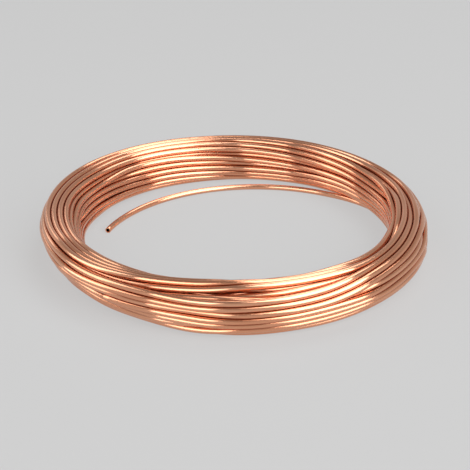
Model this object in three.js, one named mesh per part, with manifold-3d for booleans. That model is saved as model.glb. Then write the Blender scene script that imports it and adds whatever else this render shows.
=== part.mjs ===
// A coil of soft-annealed copper tube, lying flat on the floor as it leaves the mill.
//
// The coil is one continuous drawn tube, wound round and round into a ring-shaped bundle. The
// bundle is turned about an upright axis: its profile is a rounded oval of packed turns, so
// every outer turn stands out as a round ridge with a groove to each neighbour. The bundle has
// then settled: round the coil it leans outwards or inwards, and it stands full or sags. Two
// stretches of the same tube leave the turned outline. The first turn springs inwards from the
// floor and lies free in the eye of the coil, and the last turn ends on the outer side, where
// the bundle closes up behind it. Both are cut square and show the tube's bore.
//
// Millimetres, +Z up. The origin is the centre of the coil's outline, at floor level. Angles are
// in degrees, anticlockwise from +X as seen from above.
import * as THREE from "three";
import { mergeVertices } from "three/addons/utils/BufferGeometryUtils.js";
import Module from "manifold-3d";

// The tube.
const TUBE_DIAMETER = 6;
const TUBE_WALL = 1;

// The bundle, about 40 turns in nested layers. The coil radius runs to the middle of its section.
const COIL_RADIUS = 172;
const TURN_SLACK = 0.5;
const LAYER_SLACK = 0.3;
const WIDEST_LAYER_TURNS = 6;
const LAYERS = 9;
const ROUNDNESS = 2.8;

// How the bundle has settled, from place to place round the coil: its lean is how far the
// section shifts outwards for each millimetre of height, and its fullness is its share of its
// full height.
const SETTLING = [
  { azimuth: 20, lean: -0.11, fullness: 1 },
  { azimuth: 120, lean: 0.2, fullness: 1 },
  { azimuth: 205, lean: 0.36, fullness: 0.93 },
  { azimuth: 265, lean: 0.08, fullness: 1 },
  { azimuth: 315, lean: -0.02, fullness: 0.95 },
];

// The first turn's free end: an arc about a centre of its own, off to one side of the coil's.
const FREE_END_ROOT_ANGLE = 27.5;
const FREE_END_OFFSET = 31.5;
const FREE_END_OFFSET_ANGLE = -41;
const FREE_END_STEP_ANGLE = 4;
const FREE_END_STEPS = 31;
const FREE_END_BORED_STEPS = 22;
const FREE_END_LIFT = 0.3;

// The last turn, the one below the outermost. It is laid out in facets of the bundle,
// anticlockwise from its cut end. The bundle's own ridge dips by one layer where the last turn
// lies on it, and comes up again on both sides of the cut.
const LAST_TURN_END_FACET = 36;
const LAST_TURN_FACETS = 13;
const LAST_TURN_SINKING_FACETS = 5;
const LAST_TURN_BORED_FACETS = 2;
const DIP_DEEP_WITHIN = 10;
const DIP_OVER_BY = 55;

// How finely the coil and its tube are faceted.
const COIL_FACETS = 56;
const TUBE_FACETS = 10;
const GROOVE_ANGLE = 18;

const TUBE_RADIUS = TUBE_DIAMETER / 2;
const BORE_RADIUS = TUBE_RADIUS - TUBE_WALL;
const TURN_PITCH = TUBE_DIAMETER + TURN_SLACK;
const LAYER_PITCH = Math.sqrt(TUBE_DIAMETER ** 2 - (TURN_PITCH / 2) ** 2) + LAYER_SLACK;
const HALF_WIDTH = ((WIDEST_LAYER_TURNS - 1) * TURN_PITCH) / 2;
const HALF_HEIGHT = ((LAYERS - 1) * LAYER_PITCH) / 2;
const FACET_ANGLE = 360 / COIL_FACETS;
const { degToRad, radToDeg, euclideanModulo, lerp, smoothstep } = THREE.MathUtils;

const COPPER = new THREE.MeshStandardMaterial({
  color: 0xd98a63,
  metalness: 1,
  roughness: 0.28,
});

function polar(reach, angle) {
  return new THREE.Vector2(reach, 0).rotateAround(new THREE.Vector2(), degToRad(angle));
}

// The corners of a round section, whose facets touch the circle, with a flat underneath.
function roundCorners(radius) {
  const reach = radius / Math.cos(Math.PI / TUBE_FACETS);
  return Array.from({ length: TUBE_FACETS }, (_, k) =>
    polar(reach, -90 + ((k + 0.5) * 360) / TUBE_FACETS),
  );
}

// The rounded oval through the middles of the bundle's outer turns, anticlockwise from the
// outermost: x is outwards and y upwards from the middle of the section.
class SectionOval extends THREE.Curve {
  getPoint(t, target = new THREE.Vector2()) {
    const { x, y } = polar(1, 360 * t);
    const reach = (Math.abs(x) ** ROUNDNESS + Math.abs(y) ** ROUNDNESS) ** (-1 / ROUNDNESS);
    return target.set(HALF_WIDTH * reach * x, HALF_HEIGHT * reach * y);
  }
}

const OVAL = new SectionOval();
const OUTER_TURNS = OVAL.getSpacedPoints(Math.floor(OVAL.getLength() / TURN_PITCH)).slice(0, -1);
const LAST_TURN = OUTER_TURNS.at(-1);
const LOWEST = Math.min(...OUTER_TURNS.map(({ y }) => y));

// How the bundle has settled at one azimuth, eased between the places either side.
function settlingAt(azimuth) {
  const past = ({ azimuth: from }) => euclideanModulo(azimuth - from, 360);
  const before = SETTLING.reduce((last, place) => (past(place) < past(last) ? place : last));
  const after = SETTLING[(SETTLING.indexOf(before) + 1) % SETTLING.length];
  const share = smoothstep(past(before), 0, euclideanModulo(after.azimuth - before.azimuth, 360));
  return {
    lean: lerp(before.lean, after.lean, share),
    fullness: lerp(before.fullness, after.fullness, share),
  };
}

// Where an outer turn's middle comes to lie: x is its distance from the axis, y its height.
function settled(turn, azimuth, sunk = 0) {
  const { lean, fullness } = settlingAt(azimuth);
  const height = TUBE_RADIUS + (turn.y - LOWEST) * fullness;
  const halfway = TUBE_RADIUS - LOWEST * fullness;
  return new THREE.Vector2(COIL_RADIUS + turn.x - sunk + lean * (height - halfway), height);
}

// The corners of one outer turn that lie bare between the grooves to the turns either side.
function ridge(before, centre, after) {
  const turned = (corner, from) => euclideanModulo(corner.angle() - from.angle(), 2 * Math.PI);
  const from = before.clone().sub(centre);
  const to = after.clone().sub(centre);
  const groove = degToRad(GROOVE_ANGLE);
  return roundCorners(TUBE_RADIUS)
    .filter((corner) => turned(corner, from) >= groove)
    .filter((corner) => turned(corner, from) + groove <= turned(to, from))
    .sort((a, b) => turned(a, from) - turned(b, from));
}

// How far the bundle's own ridge dips under the last turn and beyond its cut end.
function dipAt(azimuth) {
  const fromCut = euclideanModulo(azimuth - LAST_TURN_END_FACET * FACET_ANGLE + 180, 360) - 180;
  return LAYER_PITCH * (1 - smoothstep(Math.abs(fromCut), DIP_DEEP_WITHIN, DIP_OVER_BY));
}

// The turned bundle: the ridges of its outer turns, joined across the grooves, then settled.
function bundleGeometry() {
  const profile = OUTER_TURNS.flatMap((turn, k) => {
    const after = OUTER_TURNS[(k + 1) % OUTER_TURNS.length];
    return ridge(OUTER_TURNS.at(k - 1), turn, after).map((corner) => ({ turn, corner }));
  });
  profile.push(profile[0]);
  const turned = new THREE.LatheGeometry(
    profile.map(({ turn, corner }) => settled(turn, 0).add(corner)),
    COIL_FACETS,
  ).rotateX(Math.PI / 2);
  const position = turned.getAttribute("position");
  for (let k = 0; k < position.count; k += 1) {
    const { turn, corner } = profile[k % profile.length];
    const azimuth = Math.floor(k / profile.length) * FACET_ANGLE - 90;
    const section = settled(turn, azimuth, turn === LAST_TURN ? dipAt(azimuth) : 0).add(corner);
    const { x, y } = polar(section.x, azimuth);
    position.setXYZ(k, x, y, section.y);
  }
  return turned;
}

// A path that is followed from step to step, as its own function of steps gives it.
class SteppedPath extends THREE.Curve {
  constructor(pointAt, from, to) {
    super();
    Object.assign(this, { pointAt, from, to });
  }

  getPoint(t, target = new THREE.Vector3()) {
    return target.copy(this.pointAt(lerp(this.from, this.to, t)));
  }

  getUtoTmapping(u) {
    return u;
  }
}

// A section, with its x outwards from the path and its y upwards, swept along part of a path.
function sweptGeometry(corners, pointAt, from, to) {
  const section = new THREE.Shape(corners.map(({ x, y }) => new THREE.Vector2(-y, -x)));
  return new THREE.ExtrudeGeometry(section, {
    steps: to - from,
    extrudePath: new SteppedPath(pointAt, from, to),
  });
}

function freeEndPoint(step) {
  const centre = polar(FREE_END_OFFSET, FREE_END_OFFSET_ANGLE);
  const root = polar(COIL_RADIUS, FREE_END_ROOT_ANGLE).sub(centre);
  const along = radToDeg(root.angle()) + step * FREE_END_STEP_ANGLE;
  const { x, y } = polar(root.length(), along).add(centre);
  return new THREE.Vector3(x, y, TUBE_RADIUS + FREE_END_LIFT);
}

function lastTurnPoint(step) {
  const azimuth = (LAST_TURN_END_FACET + step) * FACET_ANGLE;
  const sinksFrom = LAST_TURN_FACETS - LAST_TURN_SINKING_FACETS;
  const sunk = LAYER_PITCH * smoothstep(step, sinksFrom, LAST_TURN_FACETS);
  const section = settled(LAST_TURN, azimuth, sunk);
  const { x, y } = polar(section.x, azimuth);
  return new THREE.Vector3(x, y, section.y);
}

// The backing that closes the gaps behind the last turn, between its own middle, the ridge that
// dips under it and the turns either side.
function backingCorners() {
  const [above, below] = [OUTER_TURNS.at(0), OUTER_TURNS.at(-2)];
  return [
    new THREE.Vector2(),
    above.clone().sub(LAST_TURN),
    new THREE.Vector2(-LAYER_PITCH, 0),
    below.clone().sub(LAST_TURN),
  ];
}

const wasm = await Module();
wasm.setup();

function solidFrom(geometry) {
  const bare = new THREE.BufferGeometry();
  bare.setAttribute("position", geometry.getAttribute("position"));
  bare.setIndex(geometry.getIndex());
  const merged = mergeVertices(bare, 1e-3);
  return new wasm.Manifold(
    new wasm.Mesh({
      numProp: 3,
      vertProperties: merged.getAttribute("position").array,
      triVerts: new Uint32Array(merged.getIndex().array),
    }),
  );
}

function geometryFrom(solid) {
  const { vertProperties, triVerts } = solid.getMesh();
  const geometry = new THREE.BufferGeometry();
  geometry.setAttribute("position", new THREE.BufferAttribute(vertProperties, 3));
  geometry.setIndex(new THREE.BufferAttribute(triVerts, 1));
  geometry.computeVertexNormals();
  return geometry;
}

// The whole tube: the bundle with its last turn and its free end, both bored from the cut.
function copperTubeGeometry() {
  const tube = roundCorners(TUBE_RADIUS);
  const bore = roundCorners(BORE_RADIUS);
  const unbored = FREE_END_STEPS - FREE_END_BORED_STEPS;
  const solid = [
    bundleGeometry(),
    sweptGeometry(tube, lastTurnPoint, 0, LAST_TURN_FACETS),
    sweptGeometry(backingCorners(), lastTurnPoint, 0, LAST_TURN_FACETS),
    sweptGeometry(tube, freeEndPoint, 0, FREE_END_STEPS),
  ]
    .map(solidFrom)
    .reduce((whole, part) => whole.add(part));
  const bores = [
    sweptGeometry(bore, lastTurnPoint, -1, LAST_TURN_BORED_FACETS),
    sweptGeometry(bore, freeEndPoint, unbored, FREE_END_STEPS + 1),
  ];
  return geometryFrom(bores.map(solidFrom).reduce((whole, part) => whole.subtract(part), solid));
}

// Moves the leaning coil off its winding axis, to have the centre of its outline at the origin.
function centred(geometry) {
  geometry.computeBoundingBox();
  const { min, max } = geometry.boundingBox;
  return geometry.translate(-(min.x + max.x) / 2, -(min.y + max.y) / 2, -min.z);
}

const coil = new THREE.Group();
const copperTube = new THREE.Mesh(centred(copperTubeGeometry()), COPPER);
copperTube.name = "copper_tube";
coil.add(copperTube);

export default coil;
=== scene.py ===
# A 45 m coil of soft copper tube as it leaves the mill: one thin tube wound into a ring-shaped
# bundle that has slackened and slumped a little, lying flat on a plain pale floor.

import math

import bmesh
import bpy
import numpy as np
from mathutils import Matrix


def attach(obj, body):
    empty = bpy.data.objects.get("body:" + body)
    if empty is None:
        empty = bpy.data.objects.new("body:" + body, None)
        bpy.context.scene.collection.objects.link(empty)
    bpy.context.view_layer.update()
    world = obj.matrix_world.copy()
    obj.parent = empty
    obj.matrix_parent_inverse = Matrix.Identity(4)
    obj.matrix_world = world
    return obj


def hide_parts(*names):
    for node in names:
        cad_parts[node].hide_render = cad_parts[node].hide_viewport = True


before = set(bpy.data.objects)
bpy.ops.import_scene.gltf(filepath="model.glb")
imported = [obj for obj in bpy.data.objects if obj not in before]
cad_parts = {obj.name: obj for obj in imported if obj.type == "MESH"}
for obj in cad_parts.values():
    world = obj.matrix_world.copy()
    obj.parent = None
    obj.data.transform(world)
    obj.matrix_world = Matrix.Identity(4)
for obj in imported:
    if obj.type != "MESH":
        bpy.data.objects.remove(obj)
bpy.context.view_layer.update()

# Camera. It looks down on the coil from the front, a little over a metre away, so that the coil
# fills most of a square picture.

PICTURE_PIXELS = 470
FOCAL_PIXELS = 1208
COIL_FOOT_PIXEL = (234.2, 244.1)
CAMERA_DISTANCE = 1.222
CAMERA_ELEVATION = math.radians(26.4)

camera_data = bpy.data.cameras.new("camera")
camera_data.lens = camera_data.sensor_width * FOCAL_PIXELS / PICTURE_PIXELS
camera_data.shift_x = 0.5 - COIL_FOOT_PIXEL[0] / PICTURE_PIXELS
camera_data.shift_y = COIL_FOOT_PIXEL[1] / PICTURE_PIXELS - 0.5
camera = bpy.data.objects.new("camera", camera_data)
camera.location = (
    0.0,
    -CAMERA_DISTANCE * math.cos(CAMERA_ELEVATION),
    CAMERA_DISTANCE * math.sin(CAMERA_ELEVATION),
)
camera.rotation_euler = (math.pi / 2 - CAMERA_ELEVATION, 0.0, 0.0)
bpy.context.scene.collection.objects.link(camera)
bpy.context.scene.camera = camera

# Copper tube. One drawn tube, 6 mm across with a 1 mm wall, annealed soft and wound turn upon
# turn in upright layers, from the inside out. Off the winder the turns have slackened against
# each other, the bundle leans to one side, and the first turn has sprung free across the eye.

TUBE_DIAMETER = 0.006
TUBE_WALL = 0.001
TUBE_SIDES = 12
COIL_AXIS = (0.00103, -0.00019)
TURNS = 41
STATIONS_PER_TURN = 160
INNER_END_AZIMUTH = 168.8
OUTER_END_AZIMUTH = 231.4

# The bundle's section, row by row from the floor: the slot of each row's innermost turn, and its
# number of turns. The rows nest, so slots are half a turn's pitch apart.
ROWS = [(-3, 4), (-4, 5), (-5, 5), (-4, 5), (-5, 6), (-4, 5), (-3, 4), (-2, 4), (-1, 3)]
HALF_PITCH = 0.00312
ROW_PITCH = 0.0054

# Each turn keeps its slot for most of a round and crosses to the next slot in the rest of it. Some
# turns change places with the next one, but not the first and the last few. All of them waver by
# this much, over about this many stations.
CROSSING_SHARE = 110 / 360
SWAPPED_TURNS = 13
FIRST_IN_ORDER = 6
LAST_IN_ORDER = 4
WAVER = 0.0016
WAVER_STATIONS = 10

# The turns bed down into a rounded section. By azimuth, in degrees, the bundle is twisted, leans,
# and is slacker where the turns have spread and tighter where they are pinched together.
HALF_WIDTH = 0.0161
HALF_HEIGHT = 0.0212
ROUNDNESS = 2.8
MID_HEIGHT = 0.0238
TWISTS = [(0, 22), (50, 12), (110, -6), (180, -46), (196, -46), (234, 2), (320, 0), (360, 22)]
SLACKNESS = [(0, 0.98), (90, 1.03), (170, 1.0), (216, 0.82), (262, 1.05), (312, 0.9), (360, 0.98)]
LEANS = [
    (0, -0.14), (45, -0.08), (90, 0.05), (135, 0.24), (180, 0.33), (225, 0.52),
    (250, 0.2), (270, 0.07), (300, 0.07), (330, -0.1), (360, -0.14),
]
RADII = [(0, 0.172), (40, 0.1725), (85, 0.1742), (115, 0.175), (150, 0.172), (360, 0.172)]
MARKS_EASED_OVER = 11

# At the front the turns have parted along a groove, high on the outer side.
PARTED_AT = 65
PARTED_REACH = 22
PARTED_AZIMUTH = 278
PARTED_SPREAD = 48
PARTED_PUSH = 0.00005

# The free end lies on the floor on a circle of its own, up to where it joins the bundle. All of
# its stretches are in degrees of travel round the coil: how far it runs free, how long it takes to
# join, where it comes to its first slot, and where and how slowly the floor lets go of it.
FREE_END_CENTRE = (0.0229, -0.0244)
FREE_END_RADIUS = 0.162
FREE_END_TRAVEL = 141.3
JOINING_STRETCH = 50
FIRST_SLOT_AFTER = 60
LET_GO_AFTER = 20
LETTING_GO_STRETCH = 50

# The outer end is tucked in halfway up the bundle's outside, with its last stretch held there.
OUTER_END_PLACE = (0.1885, 0.0215)
TUCKING_BEFORE_END = 100
TUCKING_STRETCH = 60
HELD_BEFORE_END = 30
HOLDING_STRETCH = 25

station_angle = 360 / STATIONS_PER_TURN
full_travel = (INNER_END_AZIMUTH - OUTER_END_AZIMUTH) % 360 + 360 * TURNS
stations = round(full_travel / station_angle) + 1
travel = np.arange(stations) * station_angle
azimuth = np.radians(INNER_END_AZIMUTH - travel)
chance = np.random.default_rng(7)


def eased(share):
    """From zero to one with a gentle start and stop."""
    share = np.clip(share, 0, 1)
    return share * share * (3 - 2 * share)


def bell(reach, margin):
    """Weights that fall away over this reach to either side."""
    weights = np.exp(-0.5 * (np.arange(-margin, margin + 1) / reach) ** 2)
    return weights / weights.sum()


def along_tube(places, reach, mode):
    """Places averaged along the tube over about this many stations either way."""
    margin = round(3 * reach) + 1
    window = bell(reach, margin)
    if mode == "ends_held":
        before = 2 * places[:1] - places[margin:0:-1]
        after = 2 * places[-1:] - places[-2 : -margin - 2 : -1]
        places = np.concatenate([before, places, after])
        return np.stack([np.convolve(side, window, "valid") for side in places.T], axis=1)
    return np.stack([np.convolve(side, window, "same") for side in places.T], axis=1)


def by_azimuth(marks):
    """A value at every station, eased between its marks round the coil."""
    degrees = np.arange(-360.0, 721.0)
    values = np.interp(degrees % 360, *zip(*marks))
    window = bell(MARKS_EASED_OVER, 4 * MARKS_EASED_OVER + 1)
    values = np.convolve(values, window, "same")
    return np.interp(np.degrees(azimuth) % 360, degrees, values)


lean = by_azimuth(LEANS)
slackness = by_azimuth(SLACKNESS)
radius = by_azimuth(RADII)


def in_ring(section):
    """From places across the bundle's section to distances from the axis and heights."""
    out, up = section.T
    return np.stack([radius + out + lean * up, MID_HEIGHT + up], axis=1)


def wound_order():
    """The slots of the section as the winder fills them: one upright layer up, the next down."""
    waiting = [[first + 2 * turn for turn in range(turns)] for first, turns in ROWS]
    order, upward = [], True
    while any(waiting):
        layer = [(row.pop(0), level) for level, row in enumerate(waiting) if row]
        order += layer if upward else layer[::-1]
        upward = not upward
    swappable = np.arange(FIRST_IN_ORDER, len(order) - LAST_IN_ORDER)
    for place in chance.choice(swappable, SWAPPED_TURNS, replace=False):
        order[place], order[place + 1] = order[place + 1], order[place]
    return order


def twisted(section):
    """The section turned about its own middle, as a circle would be, then made oval again."""
    turn = np.radians(by_azimuth(TWISTS))
    out, up = section[:, 0] / HALF_WIDTH, section[:, 1] / HALF_HEIGHT
    return np.stack(
        [
            HALF_WIDTH * (out * np.cos(turn) - up * np.sin(turn)),
            HALF_HEIGHT * (out * np.sin(turn) + up * np.cos(turn)),
        ],
        axis=1,
    )


def hand_waver():
    """A slow wander of the tube across the section, as no hand or winder lays it quite true."""
    waves = np.fft.rfftfreq(stations)[:, None]
    slow = np.exp(-0.5 * (2 * np.pi * waves * WAVER_STATIONS) ** 2)
    wander = np.fft.rfft(chance.normal(size=(stations, 2)), axis=0)
    wander = np.fft.irfft(wander * slow, stations, 0)
    return WAVER * wander / wander.std(0)


def laid_places():
    """Where the winder lays the tube: each turn keeps a slot, then crosses to the next one."""
    order = wound_order()
    middle = len(ROWS) // 2
    slots = np.array([(slot * HALF_PITCH, (level - middle) * ROW_PITCH) for slot, level in order])
    slots[:, 0] -= slots[:, 0].mean()
    wound = travel - FREE_END_TRAVEL - FIRST_SLOT_AFTER
    turn = wound / wound[-1] * (len(slots) - 1)
    slot = np.floor(turn).astype(int)
    crossing = eased((turn - slot - 1 + CROSSING_SHARE) / CROSSING_SHARE)[:, None]
    here = slots[np.clip(slot, 0, len(slots) - 1)]
    there = slots[np.clip(slot + 1, 0, len(slots) - 1)]
    section = twisted(here * (1 - crossing) + there * crossing)
    return in_ring(slackness[:, None] * section + hand_waver())


def free_end_places():
    """The free end's circle on the floor, as distances from the coil's axis and heights."""
    reach, bearing = math.hypot(*FREE_END_CENTRE), math.atan2(*FREE_END_CENTRE[::-1])
    across = np.sqrt(FREE_END_RADIUS**2 - (reach * np.sin(azimuth - bearing)) ** 2)
    distance = reach * np.cos(azimuth - bearing) + across
    return np.stack([distance, np.full(stations, TUBE_DIAMETER / 2)], axis=1)


joined = eased((travel - FREE_END_TRAVEL + JOINING_STRETCH / 2) / JOINING_STRETCH)[:, None]
to_outer_end = travel - travel[-1]
tucked = eased((to_outer_end + TUCKING_BEFORE_END) / TUCKING_STRETCH)[:, None]
laid = free_end_places() * (1 - joined) + laid_places() * joined
laid = laid * (1 - tucked) + np.array(OUTER_END_PLACE) * tucked

held_on_floor = eased((FREE_END_TRAVEL + LET_GO_AFTER - travel) / LETTING_GO_STRETCH)
held_outside = eased((to_outer_end + HELD_BEFORE_END) / HOLDING_STRETCH)
held = np.maximum(held_on_floor, held_outside)[:, None]


# A distance that keeps empty places out of every turn's reach.
FAR_AWAY = 1000.0


def nearby_turns(places, reach):
    """Pairs of stations at one azimuth, on different turns, closer than this to each other."""
    turns = math.ceil(stations / STATIONS_PER_TURN)
    sheet = np.full((turns * STATIONS_PER_TURN, 2), FAR_AWAY)
    sheet[:stations] = places
    sheet = sheet.reshape(turns, STATIONS_PER_TURN, 2)
    pairs = []
    for apart in range(1, turns):
        gaps = ((sheet[apart:] - sheet[:-apart]) ** 2).sum(-1)
        turn, column = np.nonzero(gaps < reach**2)
        first = turn * STATIONS_PER_TURN + column
        pairs.append(np.stack([first + apart * STATIONS_PER_TURN, first]))
    pairs = np.concatenate(pairs, axis=1)
    return pairs[:, (pairs < stations).all(axis=0)]


# Keeps two stations in one place from being a distance of nothing apart.
NEVER_ZERO = 1e-12


def pressed_apart(places, pairs, diameter):
    """How far each station is pushed by the turns that it overlaps at this diameter."""
    between = places[pairs[0]] - places[pairs[1]]
    distance = np.hypot(*between.T) + NEVER_ZERO
    overlap = diameter - distance
    touching = overlap > 0
    one, other = pairs[:, touching]
    move = (between * (0.5 * overlap / distance)[:, None])[touching]
    return np.stack(
        [
            np.bincount(one, side, stations) - np.bincount(other, side, stations)
            for side in move.T
        ],
        axis=1,
    )


def hugged(places):
    """Places outside the rounded section, brought back onto its outline."""
    up = places[:, 1] - MID_HEIGHT
    out = places[:, 0] - radius - lean * up
    reach = np.abs(out / HALF_WIDTH) ** ROUNDNESS + np.abs(up / HALF_HEIGHT) ** ROUNDNESS
    shrink = np.maximum(reach ** (1 / ROUNDNESS) / slackness, 1)
    return in_ring(np.stack([out / shrink, up / shrink], axis=1))


def parted(places):
    """How far turns near the parted groove are urged away from it, round the section."""
    up = (places[:, 1] - MID_HEIGHT) / HALF_HEIGHT
    out = (places[:, 0] - radius - lean * up * HALF_HEIGHT) / HALF_WIDTH
    away = np.degrees(np.arctan2(up, out)) - PARTED_AT
    push = away / PARTED_REACH * np.exp(0.5 - 0.5 * (away / PARTED_REACH) ** 2)
    push *= np.clip(np.hypot(out, up) * 2 - 1, 0, 1)
    along = (np.degrees(azimuth) - PARTED_AZIMUTH + 180) % 360 - 180
    push *= np.exp(-((along / PARTED_SPREAD) ** 4))
    return PARTED_PUSH * push[:, None] * np.stack([-up, out], axis=1)


# The bundle is wound with a thin tube that swells to its real size while the turns press each
# other apart, keep their own stiffness, and stay hugged together on the floor. It beds down in
# stages: up to this share of the steps, with this stiffness and this hug.
BEDDING_STEPS = 1000
BEDDING_STAGES = [(0.4, 0.4, 0.2), (0.8, 0.1, 0.2), (0.9, 0.03, 0.2), (1.0, 0.03, 0.06)]
THIN_SHARE = 0.4
SWELLING_RATE = 2
CLEARANCE = 0.00003
SLOT_PULL = 0.02
SLOT_PULL_FADING = 1.6
STIFF_STATIONS = 3
PRESSES_PER_STEP = 2
PRESS_STRENGTH = 1.3
PRESS_STATIONS = 2
WATCHED_GAP = 0.003
STEPS_BETWEEN_LOOKS = 10

places = laid
for step in range(BEDDING_STEPS):
    done = step / BEDDING_STEPS
    if step % STEPS_BETWEEN_LOOKS == 0:
        pairs = nearby_turns(places, TUBE_DIAMETER + WATCHED_GAP)
    stiffness, hug = next(stage[1:] for stage in BEDDING_STAGES if done < stage[0])
    places = places + SLOT_PULL * max(0, 1 - SLOT_PULL_FADING * done) * (laid - places)
    places = places + stiffness * (along_tube(places, STIFF_STATIONS, "ends_held") - places)
    places = places + held * (laid - places)
    places = places + hug * (1 - held) * (hugged(places) - places)
    places = places + (1 - held) * parted(places)
    swollen = THIN_SHARE + (1 - THIN_SHARE) * min(1, SWELLING_RATE * done)
    grown = TUBE_DIAMETER * swollen + CLEARANCE
    for press in range(PRESSES_PER_STEP):
        push = along_tube(pressed_apart(places, pairs, grown), PRESS_STATIONS, "ends_free")
        places = places + PRESS_STRENGTH * (1 - held) * push
        places[:, 1] = np.maximum(places[:, 1], TUBE_DIAMETER / 2)

# A last light pass along the tube takes out the sharpest bends.
LAST_PASS_STATIONS = 0.8
places = along_tube(places, LAST_PASS_STATIONS, "ends_held")

centreline = np.stack(
    [
        COIL_AXIS[0] + places[:, 0] * np.cos(azimuth),
        COIL_AXIS[1] + places[:, 0] * np.sin(azimuth),
        places[:, 1],
    ],
    axis=1,
)

winding = bpy.data.curves.new("winding", "CURVE")
winding.dimensions = "3D"
winding.bevel_depth = TUBE_DIAMETER / 2
winding.bevel_resolution = (TUBE_SIDES - 4) // 2
spline = winding.splines.new("POLY")
spline.points.add(stations - 1)
spline.points.foreach_set("co", np.c_[centreline, np.ones(stations)].ravel())
winding_object = bpy.data.objects.new("winding", winding)
bpy.context.scene.collection.objects.link(winding_object)
evaluated = winding_object.evaluated_get(bpy.context.evaluated_depsgraph_get())
tube_mesh = bpy.data.meshes.new_from_object(evaluated)
bpy.data.objects.remove(winding_object)

# Each point of the skin knows how close the next turn lies, for the painted shade in the grooves,
# and its place round and along the tube, for the marks that the drawing die left.
GROOVE_SHADE_REACH = 0.0006

skin = np.zeros(len(tube_mesh.vertices) * 3)
tube_mesh.vertices.foreach_get("co", skin)
skin = skin.reshape(stations, TUBE_SIDES, 3)
from_axis = skin[..., :2] - COIL_AXIS
skin_places = np.stack([np.hypot(*from_axis.T).T, skin[..., 2]], axis=-1)
gap = np.full((stations, TUBE_SIDES), FAR_AWAY)
for one, other in (pairs, pairs[::-1]):
    distance = np.linalg.norm(skin_places[one] - places[other][:, None], axis=-1)
    np.minimum.at(gap, one, np.maximum(distance - TUBE_DIAMETER / 2, 0))
# Painted shade: the closer another turn lies, the more the skin is darkened, as shade falls in the
# grooves.
groove_painted_shade = np.exp(-gap / GROOVE_SHADE_REACH)
tube_mesh.attributes.new("groove_painted_shade", "FLOAT", "POINT").data.foreach_set("value", groove_painted_shade.ravel())

spacing = np.linalg.norm(np.diff(centreline, axis=0), axis=1)
length_so_far = np.concatenate([[0], np.cumsum(spacing)])
around = np.arange(TUBE_SIDES) * 2 * np.pi / TUBE_SIDES
wrap = np.zeros((stations, TUBE_SIDES, 3))
wrap[..., 0] = TUBE_DIAMETER / 2 * np.cos(around)
wrap[..., 1] = TUBE_DIAMETER / 2 * np.sin(around)
wrap[..., 2] = length_so_far[:, None]
tube_mesh.attributes.new("wrap", "FLOAT_VECTOR", "POINT").data.foreach_set("vector", wrap.ravel())

# Both ends are cut square and show the tube's bore, with the rims a little broken by the cutter.
# On the unrolled tube the cut face is a thin strip, which gives its sheen a direction.
BORE_STATIONS = 6
BORE_SHARE = 1 - 2 * TUBE_WALL / TUBE_DIAMETER
RIM_BREAK = 0.00012
CUT_FACE_STRIP = 0.001

shell = bmesh.new()
shell.from_mesh(tube_mesh)
unrolled = shell.loops.layers.uv.active
points = list(shell.verts)
rings = [points[first : first + TUBE_SIDES] for first in range(0, len(points), TUBE_SIDES)]


def bored(mouth):
    """Lines the tube's end with its bore, from the ring at the mouth to the ring furthest in."""
    within = [vert for ring in mouth for vert in ring]
    faces = dict.fromkeys(face for vert in within for face in vert.link_faces)
    skin = [face for face in faces if all(vert in within for vert in face.verts)]
    copy = bmesh.ops.duplicate(shell, geom=skin)
    lining = [part for part in copy["geom"] if isinstance(part, bmesh.types.BMFace)]
    inner = [[copy["vert_map"][vert] for vert in ring] for ring in mouth]
    for ring, bore_ring in zip(mouth, inner):
        middle = sum((vert.co for vert in ring[1:]), ring[0].co) / TUBE_SIDES
        for vert, bore_vert in zip(ring, bore_ring):
            bore_vert.co = middle.lerp(vert.co, BORE_SHARE)
    bmesh.ops.reverse_faces(shell, faces=lining)

    def open_edges(ring):
        edges = [edge for vert in ring for edge in vert.link_edges if edge.is_boundary]
        return list(dict.fromkeys(edges))

    bmesh.ops.contextual_create(shell, geom=open_edges(inner[-1]))
    rims = open_edges(mouth[0]) + open_edges(inner[0])
    cut = bmesh.ops.bridge_loops(shell, edges=rims)["faces"]
    for face in cut:
        face.smooth = False
        for loop in face.loops:
            outside = loop.vert in mouth[0]
            side = (mouth[0] if outside else inner[0]).index(loop.vert)
            loop[unrolled].uv = (0.0 if outside else CUT_FACE_STRIP, side / TUBE_SIDES)
    return rims


rims = bored(rings[:BORE_STATIONS]) + bored(rings[: -BORE_STATIONS - 1 : -1])
bmesh.ops.bevel(
    shell,
    geom=rims,
    offset=RIM_BREAK,
    offset_type="OFFSET",
    affect="EDGES",
    segments=2,
    profile=0.5,
    material=-1,
)
bmesh.ops.recalc_face_normals(shell, faces=shell.faces)
shell.to_mesh(tube_mesh)
shell.free()
tube = bpy.data.objects.new("wound_copper_tube", tube_mesh)
bpy.context.scene.collection.objects.link(tube)

# Two tones of fresh copper run slowly along the tube, the grooves are painted dark brown as shade,
# and the drawing die left fine lines along it, which set how sharply it shines.
FRESH_COPPER = (0.85, 0.43, 0.265, 1.0)
DULLED_COPPER = (0.79, 0.35, 0.2, 1.0)
GROOVE_PAINTED_SHADE = (0.26, 0.055, 0.012, 1.0)
TONES_PER_METRE = (60.0, 60.0, 9.0)
DRAW_LINES_PER_METRE = (3300.0, 3300.0, 6.0)
DRAW_LINE_DEPTH = 0.00002
LEAST_ROUGHNESS = 0.16
MOST_ROUGHNESS = 0.24

copper = bpy.data.materials.new("bright_copper")
copper.use_nodes = True
nodes, links = copper.node_tree.nodes, copper.node_tree.links
shader = nodes["Principled BSDF"]
shader.inputs["Metallic"].default_value = 1.0
shader.inputs["Anisotropic"].default_value = 0.92
shader.inputs["Anisotropic Rotation"].default_value = 0.25
unroll = nodes.new("ShaderNodeTangent")
unroll.direction_type = "UV_MAP"
unroll.uv_map = "UVMap"
links.new(unroll.outputs["Tangent"], shader.inputs["Tangent"])


def attribute(name, socket):
    """What the skin of the tube knows about itself, under this name."""
    node = nodes.new("ShaderNodeAttribute")
    node.attribute_name = name
    return node.outputs[socket]


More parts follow.
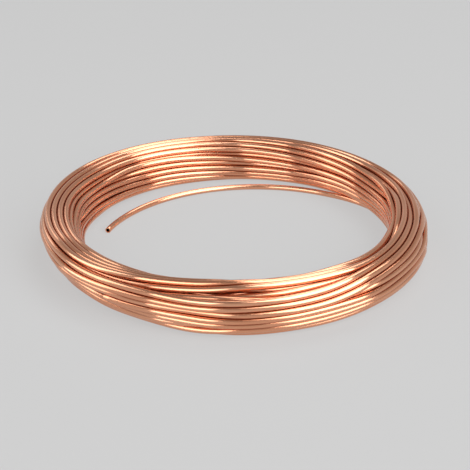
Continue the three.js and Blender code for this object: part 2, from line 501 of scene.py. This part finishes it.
def pattern(per_metre, detail):
    """Uneven marks over the skin of the tube, so many to a metre across it and along it."""
    stretch = nodes.new("ShaderNodeMapping")
    stretch.inputs["Scale"].default_value = per_metre
    noise = nodes.new("ShaderNodeTexNoise")
    noise.inputs["Scale"].default_value = 1.0
    noise.inputs["Detail"].default_value = detail
    links.new(attribute("wrap", "Vector"), stretch.inputs["Vector"])
    links.new(stretch.outputs["Vector"], noise.inputs["Vector"])
    return noise.outputs["Fac"]


def ranged(value, low, high, to_low, to_high):
    """The value's span from low to high, stretched to another span."""
    spread = nodes.new("ShaderNodeMapRange")
    spread.inputs["From Min"].default_value = low
    spread.inputs["From Max"].default_value = high
    spread.inputs["To Min"].default_value = to_low
    spread.inputs["To Max"].default_value = to_high
    links.new(value, spread.inputs["Value"])
    return spread.outputs["Result"]


def blended(share, one, other):
    """One tone going over to the other by this share."""
    mix = nodes.new("ShaderNodeMix")
    mix.data_type = "RGBA"
    links.new(share, mix.inputs["Factor"])
    sockets = [socket for socket in mix.inputs if socket.type == "RGBA"]
    for socket, colour in zip(sockets, (one, other)):
        if isinstance(colour, tuple):
            socket.default_value = colour
        else:
            links.new(colour, socket)
    return next(socket for socket in mix.outputs if socket.type == "RGBA")


slow_change = pattern(TONES_PER_METRE, 2.0)
draw_lines = pattern(DRAW_LINES_PER_METRE, 3.0)
tone = blended(ranged(slow_change, 0.35, 0.65, 0.0, 1.0), FRESH_COPPER, DULLED_COPPER)
# Painted shade: the copper goes over to dark brown in the grooves, where the next turn lies close.
tone = blended(attribute("groove_painted_shade", "Fac"), tone, GROOVE_PAINTED_SHADE)
links.new(tone, shader.inputs["Base Color"])
roughness = ranged(draw_lines, 0.3, 0.7, LEAST_ROUGHNESS, MOST_ROUGHNESS)
links.new(roughness, shader.inputs["Roughness"])
bump = nodes.new("ShaderNodeBump")
bump.inputs["Strength"].default_value = 0.15
bump.inputs["Distance"].default_value = DRAW_LINE_DEPTH
links.new(draw_lines, bump.inputs["Height"])
links.new(bump.outputs["Normal"], shader.inputs["Normal"])
tube_mesh.materials.clear()
tube_mesh.materials.append(copper)

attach(tube, "root")
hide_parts("copper_tube")

# Floor. A plain pale studio floor. The camera and the copper see most of it as lit evenly, and
# the rest of it takes the lamps' light and the coil's shadow.

FLOOR_SIZE = 24.0
FLOOR_GREY = (0.604, 0.604, 0.604, 1.0)
FLOOR_ROUGHNESS = 0.9
EVENLY_LIT_SHARE = 0.8

bpy.ops.mesh.primitive_plane_add(size=FLOOR_SIZE)
floor = bpy.context.object
floor.name = "floor"
paint = bpy.data.materials.new("floor_paint")
paint.use_nodes = True
nodes, links = paint.node_tree.nodes, paint.node_tree.links
matt = nodes["Principled BSDF"]
matt.inputs["Base Color"].default_value = FLOOR_GREY
matt.inputs["Roughness"].default_value = FLOOR_ROUGHNESS


def seen_directly(nodes, links):
    """One for what the camera, a reflection or a view through glass sees, zero otherwise."""
    path = nodes.new("ShaderNodeLightPath")
    seen = path.outputs["Is Camera Ray"]
    for ray in ("Is Glossy Ray", "Is Transmission Ray"):
        either = nodes.new("ShaderNodeMath")
        either.operation = "MAXIMUM"
        links.new(seen, either.inputs[0])
        links.new(path.outputs[ray], either.inputs[1])
        seen = either.outputs[0]
    return seen


glow = nodes.new("ShaderNodeEmission")
glow.inputs["Color"].default_value = FLOOR_GREY
share = nodes.new("ShaderNodeMath")
share.operation = "MULTIPLY"
share.inputs[1].default_value = EVENLY_LIT_SHARE
links.new(seen_directly(nodes, links), share.inputs[0])
mix = nodes.new("ShaderNodeMixShader")
links.new(share.outputs[0], mix.inputs["Fac"])
links.new(matt.outputs[0], mix.inputs[1])
links.new(glow.outputs[0], mix.inputs[2])
links.new(mix.outputs[0], nodes["Material Output"].inputs["Surface"])
floor.data.materials.append(paint)

# Lights. Soft boxes hang round the coil, facing its middle: a large one to the right, smaller
# ones to the left and in front, a slim one low behind, and one high above the back. Round them is
# a plain grey room, which the camera and the copper see and which hardly lights the floor.

SOFTBOX_DISTANCE = 3.2


def softbox(name, azimuth, elevation, width, height, brightness):
    """A soft box that faces the coil. In a mirror, a brightness of one would look white."""
    lamp = bpy.data.lights.new(name, "AREA")
    lamp.shape = "RECTANGLE"
    lamp.size, lamp.size_y = width, height
    lamp.energy = brightness * math.pi * width * height
    box = bpy.data.objects.new(name, lamp)
    turned, raised = math.radians(azimuth), math.radians(elevation)
    box.location = (
        SOFTBOX_DISTANCE * math.cos(raised) * math.cos(turned),
        SOFTBOX_DISTANCE * math.cos(raised) * math.sin(turned),
        SOFTBOX_DISTANCE * math.sin(raised),
    )
    box.rotation_euler = (math.pi / 2 - raised, 0.0, turned + math.pi / 2)
    bpy.context.scene.collection.objects.link(box)


softbox("right_softbox", azimuth=321, elevation=34, width=2.95, height=4.4, brightness=4.0)
softbox("left_softbox", azimuth=181, elevation=29, width=1.7, height=3.4, brightness=2.3)
softbox("front_softbox", azimuth=243, elevation=20, width=2.05, height=2.3, brightness=2.95)
softbox("back_softbox", azimuth=126, elevation=27, width=1.3, height=0.6, brightness=1.1)
softbox("top_softbox", azimuth=58, elevation=60, width=1.7, height=1.8, brightness=2.75)

BACKDROP_GREY = 0.6
BACKDROP_UP_TO = 0.1
CEILING_GREY = 0.3
CEILING_FROM = 0.8
FILL_GREY = 0.02

world = bpy.data.worlds.new("studio")
world.use_nodes = True
nodes, links = world.node_tree.nodes, world.node_tree.links
direction = nodes.new("ShaderNodeTexCoord")
height = nodes.new("ShaderNodeSeparateXYZ")
links.new(direction.outputs["Generated"], height.inputs["Vector"])
room = nodes.new("ShaderNodeMapRange")
room.inputs["From Min"].default_value = BACKDROP_UP_TO
room.inputs["From Max"].default_value = CEILING_FROM
room.inputs["To Min"].default_value = BACKDROP_GREY
room.inputs["To Max"].default_value = CEILING_GREY
links.new(height.outputs["Z"], room.inputs["Value"])
level = nodes.new("ShaderNodeMapRange")
level.inputs["To Min"].default_value = FILL_GREY
links.new(seen_directly(nodes, links), level.inputs["Value"])
links.new(room.outputs["Result"], level.inputs["To Max"])
links.new(level.outputs["Result"], nodes["Background"].inputs["Strength"])
nodes["Background"].inputs["Color"].default_value = (1, 1, 1, 1)
bpy.context.scene.world = world
bpy.context.scene.view_settings.view_transform = "Standard"
